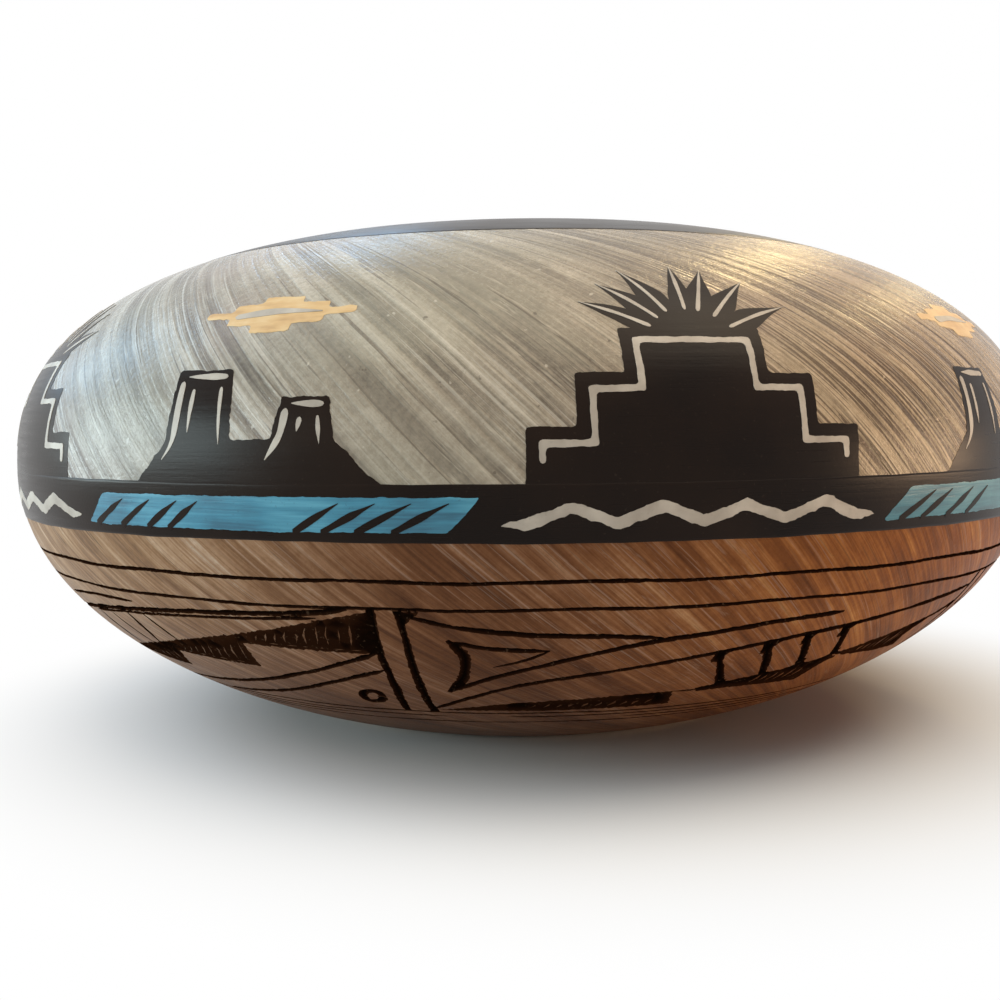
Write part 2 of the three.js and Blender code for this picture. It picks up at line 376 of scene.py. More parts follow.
# Painted light: a cool tint on the left of the shoulder and a warm tint on its right.
painted_side_light(tone, side, (0.92, 1.03, 1.2), (0.92, 0.8, 0.64)).to(shader, "Base Color")
(loads * 0.12 + grit * 0.2 + 0.1).to(shader, "Roughness")
relief = edges * 0.5 + lines * 0.6 + hairs * 0.4 + grit * 0.8
relief.bump(0.5, 0.25 * MM).to(shader, "Normal")

slip_arcs = np.linspace(-BELT_LAP, RIM_BAND_ARC + BELT_LAP, SLIP_ROWS)
slip_arcs = np.concatenate([slip_arcs, np.linspace(RIM_BAND_ARC, 0, UNDER_ROWS)])
slip_lifts = np.repeat([0, -COAT_DEPTH], [SLIP_ROWS, UNDER_ROWS])
turns = np.tile(np.linspace(0, 2 * np.pi, SLIP_COLUMNS, endpoint=False), len(slip_arcs))
arcs = np.repeat(slip_arcs, SLIP_COLUMNS)
points = on_pot(turns, arcs, np.repeat(slip_lifts, SLIP_COLUMNS))
faces = turned_faces(len(slip_arcs), SLIP_COLUMNS, True)
brushed(new_piece("brushed_shoulder", points, faces, "grey_slip", "shoulder_slip"), turns, arcs)

# The lower coat: a warmer brown slip brushed on like the shoulder's, and etched through with a nail while
# leather hard. Its darker, warmer brown is partly the slip's own and partly painted shade and warm light
# on the underside, and painted light pales it with a cool sheen on the upper left and warms it on the
# right. The cuts are dark from stain wiped into them, with ragged edges where the slip chipped.
BELT_FOOT_ARC = arc_at_height(bowl_half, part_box("belly_belt")[0].z)
SLIP_TOP_ARC = BELT_FOOT_ARC + BELT_LAP
SLIP_FOOT_ARC = arc_at_radius(bowl_half, FOOT_RADIUS + BARE_FOOT_EDGE)
ETCH_STEP = 0.4 * MM
ETCH_DEPTH = 0.42 * MM
WEDGE_DEPTH = 0.3 * MM
SLIVER_STEP = 0.5 * MM
TAPER_MM = 3
CHIP = 0.16
LINE_STEPS = 24
PATTERN_REPEATS = 3
PATTERN_TURN = 360 / PATTERN_REPEATS
SEAM_TURN = math.radians(-185)
SKIN, CUT, SLIVER = 0, 1, 2
etch_random = random.Random(7)


def smooth_line(points, closed=False):
    """A smooth line through given points, as many short steps between each two."""
    points = [Vector(p) for p in points]
    count = len(points)
    line = []
    for i in range(count if closed else count - 1):
        around = (i - 1, i, i + 1, i + 2)
        a, b, c, d = [points[k % count if closed else min(max(k, 0), count - 1)] for k in around]
        for step in range(LINE_STEPS):
            t = step / LINE_STEPS
            line.append(0.5 * (2 * b + (c - a) * t + (2 * a - 5 * b + 4 * c - d) * t * t
                               + (3 * b - a - 3 * c + d) * t ** 3))
    line.append(points[0] if closed else points[-1])
    return line


def walk_line(line, step):
    """A line of (turn, arc) points walked at an even step of real length, with the way across at each."""
    line = np.array([tuple(p) for p in line])
    radius = along_profile(line[:, 1])[0]
    flat = np.stack([np.diff(line[:, 0]) * (radius[1:] + radius[:-1]) / 2, np.diff(line[:, 1])], axis=1)
    length = np.concatenate([[0], np.cumsum(np.hypot(flat[:, 0], flat[:, 1]))])
    count = max(3, int(round(length[-1] / step)) + 1)
    at = np.linspace(0, length[-1], count)
    walked = np.stack([np.interp(at, length, line[:, k]) for k in (0, 1)], axis=1)
    radius = along_profile(walked[:, 1])[0]
    ahead = np.stack([np.gradient(walked[:, 0]) * radius, np.gradient(walked[:, 1])], axis=1)
    ahead /= np.hypot(ahead[:, 0], ahead[:, 1])[:, None]
    across = np.stack([-ahead[:, 1] / radius, ahead[:, 0]], axis=1)
    return walked, across, at


def ragged(count):
    """A share to widen or narrow a cut's edge by at each step, wandering slowly with small chips."""
    drift, edge = 0.0, []
    for _ in range(count):
        drift = 0.82 * drift + etch_random.gauss(0, CHIP * 0.5)
        edge.append(1 + drift + etch_random.gauss(0, CHIP * 0.45))
    return np.array(edge)


class Etching:
    """Everything cut into the lower coat, gathered as points, lines and closed areas of (turn, arc)."""

    def __init__(self):
        self.points = []
        self.lines = []
        self.areas = []
        self.kinds = []
        self.depths = {}

    def add_points(self, points):
        first = len(self.points)
        self.points.extend(tuple(p) for p in points)
        return list(range(first, len(self.points)))

    def cut(self, line, half_width, ends=(1.0, 1.0), whole_turn=False):
        """One line cut with a point: two ragged edges and the deepest line between them."""
        walked, across, at = walk_line(line, ETCH_STEP)
        left, right = ragged(len(walked)), ragged(len(walked))
        start, end = at + ends[0] * TAPER_MM * MM, at[-1] - at + ends[1] * TAPER_MM * MM
        taper = np.minimum(1, np.minimum(start, end) / (TAPER_MM * MM))
        if whole_turn:
            taper[:] = 1
            left[[0, -1]] = right[[0, -1]] = 1
            across[[0, -1]] = 0, 1
        width = half_width * np.maximum(taper, 0.12)
        low = self.add_points(walked + across * (width * left)[:, None])
        high = self.add_points(walked - across * (width * right)[:, None])
        middle = self.add_points(walked if whole_turn else walked[1:-1])
        self.lines += list(zip(middle, middle[1:]))
        self.areas.append(low + high[::-1])
        self.kinds.append(CUT)
        deepest = width if whole_turn else width[1:-1]
        self.depths.update(zip(middle, np.minimum(ETCH_DEPTH, 0.95 * deepest)))

    def area(self, outline, kind, step=ETCH_STEP, roughness=0.1 * MM):
        """A closed area scraped away, or a sliver of slip left standing inside one."""
        ring = []
        for start, end in zip(outline, outline[1:] + outline[:1]):
            walked, across, _ = walk_line([start, end], step)
            shake = np.array([etch_random.gauss(0, roughness) for _ in walked])
            shake[0] = 0
            ring.append((walked + across * shake[:, None])[:-1])
        self.areas.append(self.add_points(np.concatenate(ring)))
        self.kinds.append(kind)

    def scratches(self, line):
        """Short slivers of slip along a line, left where two passes of the point ran side by side."""
        walked, across, _ = walk_line(line, ETCH_STEP)
        at = 1
        while at < len(walked) - 5:
            half = etch_random.randint(1, 2)
            side = across[at + half] * etch_random.uniform(0.05, 0.1) * MM
            middle = walked[at + half]
            outline = [walked[at], middle + side, walked[at + 2 * half], middle - side]
            self.area(outline, SLIVER, SLIVER_STEP, 0.02 * MM)
            at += 2 * half + etch_random.randint(1, 4)


def degrees_mm(points, turn=0.0):
    """Points given in (degrees from the front, mm along the outside), as (turn, arc)."""
    return [(math.radians(a + turn), s * MM) for a, s in points]


RING_CUT = 0.28 * MM
LINE_CUT = 0.46 * MM
BAR_CUT = 0.56 * MM
RUNG_CUT = 0.6 * MM
CRESCENT_CUT = 0.74 * MM
FINE_CUT = 0.27 * MM
RING_ARCS = (-12.3, -16.4, -42.6, -47.6)
RING_POINTS = 72
RING_SWAY = 0.12 * MM
FOOT_SCRATCHES = [
    ((-52, -44.1), (-9, -44.6)),
    ((-3, -44.4), (38, -44)),
    ((-44, -46), (-22, -45.8)),
    ((12, -45.9), (50, -45.6)),
]
RIGHT_PANEL = [
    ([(-9.8, -17.4), (-6.4, -19), (-3.3, -19.9), (0.7, -20.6), (7, -21.1), (12.4, -21.9)], LINE_CUT),
    ([(-6.6, -21.6), (-5.5, -24.2), (-5.4, -27.2), (-6, -30.6), (-7.8, -34.4)], CRESCENT_CUT),
    ([(-6.4, -21.9), (-2.7, -23.3), (2.4, -23.8)], LINE_CUT),
    ([(2.4, -23.8), (0, -25.8), (-2.8, -27.3)], RING_CUT),
    ([(-7.6, -34.2), (-2.6, -29.7), (5.9, -24.8), (11.3, -22.6), (16, -21.6), (23.2, -20.2),
      (30.5, -19.5)], LINE_CUT),
    ([(-10.6, -41), (-5.3, -35.9), (0.8, -31.6), (11.2, -28), (18.7, -25.7), (27.8, -23.4),
      (44.8, -20.4), (53.6, -19.2)], LINE_CUT),
    ([(16.5, -36), (18, -36), (20, -35.9)], RING_CUT),
]
RUNGS = [
    ((18.7, -25.7), (21.8, -35.2)),
    ((23.7, -24.6), (26.7, -34.2)),
    ((28, -23.4), (30.5, -31.6)),
    ((32.5, -22.6), (34.6, -30)),
]
LEFT_PANEL = [
    ([(-14.8, -16.6), (-18.2, -17.4), (-24.2, -18.1), (-33.9, -19), (-44.7, -20.5), (-55, -22.3),
      (-63.8, -24.2)], LINE_CUT),
    ([(-13.5, -24.7), (-22, -30.2), (-33, -35.8), (-47.6, -39.9), (-57, -42)], LINE_CUT),
    ([(-13.5, -28.6), (-20.9, -33.3), (-28.2, -37.7), (-36, -40.6), (-43, -42.4)], LINE_CUT),
    ([(-18, -18.3), (-24.2, -19), (-33.9, -19.9), (-44.7, -21.2), (-53, -22.6)], RING_CUT),
    ([(-52.4, -22.6), (-51.5, -26.9), (-50.5, -30.6)], LINE_CUT),
    ([(-48.4, -22), (-46.9, -25.5), (-45.3, -28.8)], RING_CUT),
    ([(-43.8, -21.2), (-43.2, -24.8), (-43.3, -28.2)], LINE_CUT),
    ([(-40.6, -20.6), (-39.3, -23.4), (-38.1, -26.4)], RING_CUT),
    ([(-58, -19.8), (-48.7, -18.5), (-40.6, -18.4)], RING_CUT),
]
BARS = [
    [(-12.7, -16.4), (-13.1, -24.5), (-13.4, -33), (-14.2, -42.6)],
    [(-10.4, -16.6), (-10.3, -21.3), (-10.5, -29), (-10.8, -42.4)],
    [(-63.8, -16.4), (-63.7, -24.5), (-63.4, -33), (-63.1, -42.6)],
    [(53.8, -16.4), (53.7, -24.5), (53.6, -33), (53.4, -42.6)],
]
WEDGES = [
    [(-12.8, -16.8), (-13.2, -25), (-27.9, -24.5), (-28.4, -30.3), (-40.7, -29.4), (-42.8, -34.3),
     (-57.5, -33.2), (-52.4, -31), (-38.3, -26), (-25.4, -21.6)],
    [(-10, -41.5), (5, -41.4), (17.4, -40.8), (16.4, -35.8), (12.7, -36), (-1.3, -38.1)],
    [(19, -35.4), (22.1, -34.1), (26.9, -32.6), (30, -31.7), (34.6, -29.8), (35.6, -30.8), (34.4, -32.6),
     (33.6, -37.2), (27.9, -36.7), (22.8, -36.4), (19.4, -36.7)],
    [(34.5, -29.9), (38.3, -28.3), (42, -27), (44.5, -25.9), (49, -24.4), (53.6, -21.9), (53.7, -23.6),
     (49.2, -25.3), (47.9, -27.1), (47.3, -29.1), (48.9, -32), (43, -31.6), (37.3, -30.7)],
    [(-10.7, -16.6), (-8.6, -16.7), (-9.6, -18.4), (-10.3, -19.4)],
]
HATCHING = [
    (1, [((-15 - 1.15 * i, -18.6 - 0.4 * i), (-15.7 - 1.15 * i, -23.4 - 0.04 * i)) for i in range(10)]),
    (1, [((-28.6 - 1.25 * i, -24.2 - 0.42 * i), (-29.6 - 1.25 * i, -29 - 0.02 * i)) for i in range(9)]),
    (1, [((-42.8 - 1.4 * i, -29.2 - 0.5 * i), (-43.8 - 1.4 * i, -33.4 + 0.02 * i)) for i in range(6)]),
    (2.4, [((1.5 + 1.5 * i, -38.7 + 0.07 * i), (0.7 + 1.5 * i, -40.4)) for i in range(10)]),
    (2, [((26.6 + 1.15 * i, -33.4 + 0.28 * i), (25.9 + 1.15 * i, -35.8 - 0.05 * i)) for i in range(6)]),
    (2, [((39.6 + 1.15 * i, -28.8 + 0.4 * i), (38.9 + 1.15 * i, -30.4 - 0.1 * i)) for i in range(7)]),
]
EDGE_SCRATCHES = [
    [(-20, -18), (-31, -19.4), (-44, -21)],
    [(-14.6, -24.4), (-27, -24)],
    [(-30, -29.7), (-40, -29)],
]
RUNG_FLARES = [
    [(-0.5, 0), (0.6, 0.3), (2.4, 0.75), (1.3, -0.1), (0.8, -0.9), (0.5, -2.4), (-0.3, -2.4), (-0.4, -1)],
    [(-1.1, -0.4), (1, 0.3), (0.5, 0.8), (0.3, 1.8), (-0.4, 1.8), (-0.5, 0.7)],
]
CIRCLE = ((-17.1, -37.1), 1.25, 2.0, 0.5)

etching = Etching()
for arc in RING_ARCS:
    wave = []
    for i in range(RING_POINTS + 1):
        sway = RING_SWAY * math.sin(i * 1.7) * (0 < i < RING_POINTS)
        wave.append((SEAM_TURN + 2 * math.pi * i / RING_POINTS, arc * MM + sway))
    etching.cut(smooth_line(wave), RING_CUT, whole_turn=True)
for repeat in range(PATTERN_REPEATS):
    turn = (repeat - 1) * PATTERN_TURN
    for points, width in RIGHT_PANEL + LEFT_PANEL:
        etching.cut(smooth_line(degrees_mm(points, turn)), width, ends=(0.35, 0.35))
    for points in BARS:
        etching.cut(smooth_line(degrees_mm(points, turn)), BAR_CUT)
    for points in FOOT_SCRATCHES:
        etching.cut(degrees_mm(points, turn), FINE_CUT, ends=(0, 0))
    for points in RUNGS:
        etching.cut(degrees_mm(points, turn), RUNG_CUT)
        for (a, b), flare in zip(points, RUNG_FLARES):
            etching.area(degrees_mm([(a + x, b + y) for x, y in flare], turn), CUT)
    for outline in WEDGES:
        etching.area(degrees_mm(outline, turn), CUT)
    for width, strokes in HATCHING:
        for (a, b), (c, d) in strokes:
            thick = width * etch_random.uniform(0.04, 0.13)
            bend = etch_random.uniform(-0.25, 0.25)
            short = etch_random.uniform(0, 0.35)
            middle, level = (a + c) / 2 + bend, (b + d) / 2
            start = (a + (c - a) * short, b + (d - b) * short)
            sliver = [start, (middle + thick, level), (c, d), (middle - thick, level)]
            etching.area(degrees_mm(sliver, turn), SLIVER, SLIVER_STEP, 0.03 * MM)
    for points in EDGE_SCRATCHES:
        etching.scratches(degrees_mm(points, turn))
    (a, b), wide, tall, lean = CIRCLE
    spokes = [(math.cos(k * math.pi / 4), math.sin(k * math.pi / 4)) for k in range(8)]
    ring = [(a + wide * x + lean * y, b + tall * y) for x, y in spokes]
    etching.cut(smooth_line(degrees_mm(ring, turn), closed=True), RUNG_CUT)


def inside_outline(points, outline):
    """Which points lie inside a closed outline, by the count of its edges to their right."""
    x, y = points[:, 0, None], points[:, 1, None]
    (ax, ay), (bx, by) = outline.T, np.roll(outline, -1, axis=0).T
    rises = (ay > y) != (by > y)
    level = np.where(by == ay, 1, by - ay)
    return (np.sum(rises & (x < (bx - ax) * (y - ay) / level + ax), axis=1) % 2).astype(bool)


def inside_box(points, outline):
    """The numbers of the points that lie inside an outline's box."""
    return np.all((points > outline.min(axis=0)) & (points < outline.max(axis=0)), axis=1).nonzero()[0]


def point_tree(points):
    """A tree that finds the nearest of these points."""
    tree = kdtree.KDTree(len(points))
    for i, (x, y) in enumerate(points):
        tree.insert((x, y, 0), i)
    tree.balance()
    return tree


def triangles(points, edges):
    """A sheet of triangles over flat points that keeps these edges: its points, faces and points' origins."""
    flat = [Vector(p) / MM for p in points]
    made, _, faces, origins, _, _ = geometry.delaunay_2d_cdt(flat, edges, [], 0, 1e-5)
    return np.array([tuple(p) for p in made]) * MM, np.array(faces), origins


SKIN_STEP = 2.2 * MM
SKIN_ROWS = int(round((SLIP_TOP_ARC - SLIP_FOOT_ARC) / SKIN_STEP))
SKIN_COLUMNS = int(round(2 * math.pi * BELLY_RADIUS / SKIN_STEP))


def skin_points(taken):
    """An even spread of (turn, arc) points over the lower coat, clear of the points already taken."""
    tree = point_tree([(turn * BELLY_RADIUS, arc) for turn, arc in taken])
    spread = []
    for row in range(SKIN_ROWS + 1):
        arc = SLIP_TOP_ARC + (SLIP_FOOT_ARC - SLIP_TOP_ARC) * row / SKIN_ROWS
        for column in range(SKIN_COLUMNS + 1):
            on_edge = row in (0, SKIN_ROWS) or column in (0, SKIN_COLUMNS)
            shift = 0 if on_edge else (row % 2) / 2
            turn = SEAM_TURN + 2 * math.pi * (column + shift) / SKIN_COLUMNS
            clear = tree.find((turn * BELLY_RADIUS, arc, 0))[2] > 0.3 * SKIN_STEP
            if on_edge or (clear and column + shift < SKIN_COLUMNS):
                spread.append((turn, arc))
    return spread


def etched_sheet():
    """The lower coat's outer face: (turn, arc) points, depths, triangles and the kind of each triangle."""
    points = np.array(etching.points + skin_points(etching.points)) * (BELLY_RADIUS, 1)
    edges = list(etching.lines)
    for area in etching.areas:
        edges += zip(area, area[1:] + area[:1])
    made, faces, origins = triangles(points, edges)
    faces = faces[np.ptp(made[faces, 0], axis=1) > 1e-3 * MM]
    kinds, centres = np.full(len(faces), SKIN), made[faces].mean(axis=1)
    for area, kind in zip(etching.areas, etching.kinds):
        near = inside_box(centres, points[area])
        inside = near[inside_outline(centres[near], points[area])]
        kinds[inside] = np.maximum(kinds[inside], kind)
    depth = np.full(len(made), WEDGE_DEPTH)
    for i, origin in enumerate(origins):
        depth[i] = max([etching.depths.get(k, 0) for k in origin] + [WEDGE_DEPTH])
    depth *= [etch_random.uniform(0.75, 1.1) for _ in made]
    depth[np.unique(faces[kinds == SLIVER])] = 0.3 * WEDGE_DEPTH
    depth[np.unique(faces[kinds == SKIN])] = 0
    return made / (BELLY_RADIUS, 1), depth, faces, kinds


def close_seam(points, faces):
    """Joins an unrolled sheet's ends: each point at its far end gives way to the one at its near end."""
    far = np.isclose(points[:, 0], SEAM_TURN + 2 * math.pi, atol=1e-6).nonzero()[0]
    near = np.isclose(points[:, 0], SEAM_TURN, atol=1e-6).nonzero()[0]
    swap = np.arange(len(points))
    for i in far:
        swap[i] = near[np.argmin(np.abs(points[near, 1] - points[i, 1]))]
    keep = np.setdiff1d(np.arange(len(points)), far)
    index = np.zeros(len(points), int)
    index[keep] = np.arange(len(keep))
    return keep, index[swap[faces]]


def etched_normals(points, faces, kinds, outward):
    """A normal for each corner: the pot's own on the skin, and the cuts' own walls inside them."""
    corner = points[faces]
    flat = np.cross(corner[:, 1] - corner[:, 0], corner[:, 2] - corner[:, 0])
    normals = outward[faces]
    for kind in (CUT, SLIVER):
        summed = np.zeros_like(points)
        for k in range(3):
            np.add.at(summed, faces[kinds == kind, k], flat[kinds == kind])
        summed /= np.maximum(np.linalg.norm(summed, axis=1), 1e-20)[:, None]
        normals[kinds == kind] = summed[faces[kinds == kind]]
    return normals


def keep_normals(piece, normals):
    """Gives a piece's first corners, the ones that show, these normals, and leaves the rest to its faces."""
    normals = normals.reshape(-1, 3)
    hidden = len(piece.data.loops) - len(normals)
    piece.data.normals_split_custom_set([*normals, *np.zeros((hidden, 3))])


shader, place = new_finish("brown_slip", roughness=0.45, specular_ior_level=0.09)
side = sideways(place)
brush = brush_lay(place)
stain = place.make("ShaderNodeAttribute", {"attribute_name": "stain"}, out="Fac")
patches = streaks(brush, 6, 3, 3)
loads = streaks(brush, 16, 4)
bands = streaks(brush, 48, 5)
lines = streaks(brush, 125, 7)
ridges = streaks(brush, 190, 6, 1)
hairs = streaks(brush, 330, 12, 2, 0.6)
dry = streaks(brush, 90, 24, 3, 0.7)
worn = place.noise(30, 3)
mottle = place.noise(200, 4, 0.7)
grit = place.noise(1300, 3, 0.7)
specks = place.noise(1700, 2, 0.6)
# The dark streaks are laid on more strongly on the left of the lower coat.
streakier_side = (side * -1).between(10 * MM, 50 * MM)
layers = bands * 0.5 + lines * 0.46 + hairs * 0.18
value = layers + loads * 0.5 + patches * 0.28 + mottle * 0.2 + grit * 0.14 - 0.59
# The base brown: partly the slip's own colour, partly painted shade and warm light on the underside.
tone = value.ramp(
    (0.20, (56, 32, 19)),
    (0.38, (84, 51, 31)),
    (0.52, (106, 67, 42)),
    (0.66, (131, 90, 63)),
    (0.84, (166, 132, 108)),
)
# Painted light: a pale cool sheen on the upper left of the lower coat and a warm orange glow on its right.
tone = overlaid(
    painted_side_light(tone, side, (2.15, 3.15, 4.1), (1.55, 1.22, 0.55)),
    (lines.between(0.60, 0.68) * bands.between(0.36, 0.5), streakier_side * 0.35 + 0.4, (58, 35, 23)),
    (ridges.between(0.60, 0.70) * patches.between(0.38, 0.58), 0.4, (168, 142, 126)),
    (dry.between(0.56, 0.68) * worn.between(0.46, 0.62), 0.3, (164, 136, 118)),
    (grit.between(0.62, 0.74), 0.3, (66, 42, 30)),
)
tone.to(shader, "Base Color")
(loads * 0.12 + grit * 0.2 + 0.28).to(shader, "Roughness")
relief = bands * 0.3 + lines * 0.5 + hairs * 0.3 + grit * 0.8
relief.bump(0.35, 0.25 * MM).to(shader, "Normal")
cut_tone = stain.ramp((0.45, (50, 28, 16)), (0.75, (26, 13, 7)), (1.0, (13, 7, 4)))
cut_tone = overlaid(cut_tone, (specks.between(0.62, 0.74), 0.3, (112, 88, 70)))
matte = {"Base Color": cut_tone, "Roughness": 0.9, "Specular IOR Level": 0.0}
stained = place.make("ShaderNodeBsdfPrincipled", {}, matte, out="BSDF")
worked = place.make("ShaderNodeMixShader", {}, {0: stain.between(0.05, 0.45), 2: stained})
Wire(shader.outputs["BSDF"]).to(worked.socket.node, 1)
worked.to(finishes["brown_slip"].node_tree.nodes["Material Output"], "Surface")

SLIVER_STAIN = 0.25
sheet, depth, faces, kinds = etched_sheet()
keep, faces = close_seam(sheet, faces)
(turns, arcs), depth = sheet[keep].T, depth[keep]
outside = on_pot(turns, arcs, -depth)
outward = on_pot(turns, arcs, 1.0) - on_pot(turns, arcs)

edge_turns = SEAM_TURN + 2 * math.pi * np.arange(SKIN_COLUMNS) / SKIN_COLUMNS
under_turns = np.tile(edge_turns, UNDER_ROWS)
under_arcs = np.repeat(np.linspace(SLIP_FOOT_ARC, SLIP_TOP_ARC, UNDER_ROWS), SKIN_COLUMNS)
foot_under = len(outside)
top_under = foot_under + (UNDER_ROWS - 1) * SKIN_COLUMNS
hidden = [[f + foot_under for f in face[::-1]] for face in turned_faces(UNDER_ROWS, SKIN_COLUMNS, False)]
foot_edge = np.isclose(arcs, SLIP_FOOT_ARC, atol=1e-7).nonzero()[0]
foot_edge = foot_edge[np.argsort(turns[foot_edge])]
top_edge = np.isclose(arcs, SLIP_TOP_ARC, atol=1e-7).nonzero()[0]
top_edge = top_edge[np.argsort(turns[top_edge])]
columns = [(i, (i + 1) % SKIN_COLUMNS) for i in range(SKIN_COLUMNS)]
hidden += [[foot_edge[i], foot_under + i, foot_under + j, foot_edge[j]] for i, j in columns]
hidden += [[top_edge[j], top_under + j, top_under + i, top_edge[i]] for i, j in columns]
points = [*outside, *on_pot(under_turns, under_arcs, -COAT_DEPTH)]
lower_slip = new_piece("etched_lower_slip", points, faces.tolist() + hidden, "brown_slip", "lower_slip")
brushed(lower_slip, np.concatenate([turns, under_turns]), np.concatenate([arcs, under_arcs]))
shares = 0.5 + 0.5 * np.minimum(1, depth[faces] / (0.8 * ETCH_DEPTH))
shares[kinds == SKIN] = 0
shares[kinds == SLIVER] = SLIVER_STAIN
shares = np.concatenate([shares.ravel(), np.zeros(4 * len(hidden))])
dark = lower_slip.data.attributes.new("stain", "FLOAT", "CORNER")
dark.data.foreach_set("value", shares.astype(np.float32))
keep_normals(lower_slip, etched_normals(outside, faces, kinds, outward))

# The black bands: a belt round the belly and a band over the rim, of thick black paint laid on while the
# pot turns, so its edges waver a little and its face keeps faint brush lines round the pot.
BAND_COLUMNS = 384
BELT_ROWS = 14
RIM_ROWS = 15
LIP_ROWS = 16
PAINT_LIFT = 0.04 * MM
BELT_LIFT = 0.06 * MM
RIM_DEPTH = 6 * PAINT_LIFT
EDGE_WAVER = 0.16 * MM
band_random = random.Random(11)

shader, place = new_finish("black_paint", roughness=0.28, specular_ior_level=0.1)
rounds = (place * (0.6, 0.6, 14)).noise(130, 3, 0.6)
clouding = place.noise(60, 3)
grain = place.noise(2200)
tone = clouding.ramp((0.35, (22, 13, 8)), (0.6, (31, 20, 13)), (0.8, (40, 28, 20)))
overlaid(tone, (grain.between(0.66, 0.76), 0.3, (62, 51, 43))).to(shader, "Base Color")
(rounds * 0.14 + clouding * 0.14 + 0.16).to(shader, "Roughness")
(rounds + grain * 0.5).bump(0.1, 0.2 * MM).to(shader, "Normal")

band_turn = np.linspace(0, 2 * np.pi, BAND_COLUMNS, endpoint=False)


def waver(size):
    """A slow sideways wander of a hand-drawn edge, the same where the round closes."""
    waves = []
    for k in (3, 5, 8, 13, 21, 34, 55, 80):
        waves.append((k, band_random.gauss(0, 1) / k ** 0.5, band_random.uniform(0, 2 * np.pi)))
    return size * sum(height * np.sin(k * band_turn + phase) for k, height, phase in waves) / 1.6


def band_rows(arcs, lifts):
    """Rows of points round the pot at these arcs, each row with its own lift."""
    return on_pot(band_turn, arcs, lifts[:, None])


def band(name, points, node):
    """A ring of paint from rows of points round the pot, with its outline closed on itself."""
    faces = turned_faces(len(points), BAND_COLUMNS, True)
    new_piece(name, points.reshape(-1, 3), faces, "black_paint", node)


belt_foot = BELT_FOOT_ARC + waver(EDGE_WAVER)
belt_top = waver(EDGE_WAVER)
belt_share = np.concatenate([[0, 0.006], np.linspace(0.05, 0.95, BELT_ROWS), [0.994, 1, 0.98, 0.5, 0.02]])
belt_lift = np.concatenate([[0.1, 1], np.ones(BELT_ROWS), [1, 0.1, -3, -3, -3]]) * BELT_LIFT
belt_arcs = belt_foot + np.outer(belt_share, belt_top - belt_foot)
band("black_belt", band_rows(belt_arcs, belt_lift), "belly_belt")

rim_edge = RIM_BAND_ARC + waver(EDGE_WAVER * 0.7)
rim_share = np.concatenate([[0, 0.006], np.linspace(0.05, 1, RIM_ROWS)])
rim_lift = np.concatenate([[0.1, 1], np.ones(RIM_ROWS)]) * PAINT_LIFT
rim_arcs = rim_edge + np.outer(rim_share, LIP_ARC - rim_edge)
inner_edge = 1.04 + waver(0.03)


def lip_rows(radius, share):
    """Rows of points over the lip, each a share of the way from the outside to the wavering inner edge."""
    angle = LIP_START + np.pi * np.outer(share, inner_edge)
    out, height = LIP_CENTRE[0] + radius * np.cos(angle), LIP_CENTRE[1] + radius * np.sin(angle)
    return np.stack([out * np.sin(band_turn), -out * np.cos(band_turn), height], axis=-1)


over_lip = lip_rows(WALL / 2 + PAINT_LIFT, np.linspace(0, 1, LIP_ROWS)[1:])
under_lip = lip_rows(WALL / 2 - RIM_DEPTH, np.linspace(1, 0, LIP_ROWS))
under_arcs = np.linspace(LIP_ARC, RIM_BAND_ARC + 0.5 * MM, 6)[1:, None] + np.zeros(BAND_COLUMNS)
under_rim = on_pot(band_turn, under_arcs, -RIM_DEPTH)
rim = np.concatenate([band_rows(rim_arcs, rim_lift), over_lip, under_lip, under_rim])
band("black_rim", rim, "rim_band")

# The turquoise stripe: five lengths of thick turquoise paint on the belt, one under each pair of buttes.
# Their ends lean, and short dark strokes cut into them like the barbs of a feather.
REPEATS = 5
FIRST_TERRACE = math.radians(14)
FIRST_BUTTES = FIRST_TERRACE + math.pi / REPEATS
FILM_STEP = 0.35 * MM
FILM_FILL = 1.3 * MM
FILM_SINK = 0.07 * MM
STRIPE_LENGTH = 58 * MM
STRIPE_SLANT = 4 * MM
STRIPE_TOP = -1.6 * MM
STRIPE_FOOT = BELT_FOOT_ARC + 1.4 * MM
BARBS = 4
BARB_MARGIN = 6 * MM
BARB_PITCH = 4.6 * MM
BARB_STROKE = 0.8 * MM
film_random = random.Random(5)


def repeats(first):
    """The number and the turn of each repeat of the painted frieze."""
    return [(i + 1, first + i * 2 * math.pi / REPEATS) for i in range(REPEATS)]


def hand_drawn(outline, wobble=0.07 * MM, rounding=2):
    """A closed outline as a brush leaves it: corners softened, and edges a little unsteady."""
    outline = np.array([tuple(p) for p in outline])
    edges = np.hypot(*(np.roll(outline, -1, axis=0) - outline).T)
    walked = []
    for start, end, length in zip(outline, np.roll(outline, -1, axis=0), edges):
        steps = max(1, int(round(length / FILM_STEP)))
        walked += [start + (end - start) * i / steps for i in range(steps)]
    walked = np.array(walked)
    for _ in range(rounding):
        walked = (np.roll(walked, 1, axis=0) + 2 * walked + np.roll(walked, -1, axis=0)) / 4
    drift = np.zeros(2)
    shaken = []
    for point in walked:
        drift = 0.75 * drift + np.array([film_random.gauss(0, 1), film_random.gauss(0, 1)]) * wobble * 0.5
        shaken.append(point + drift)
    return np.array(shaken)


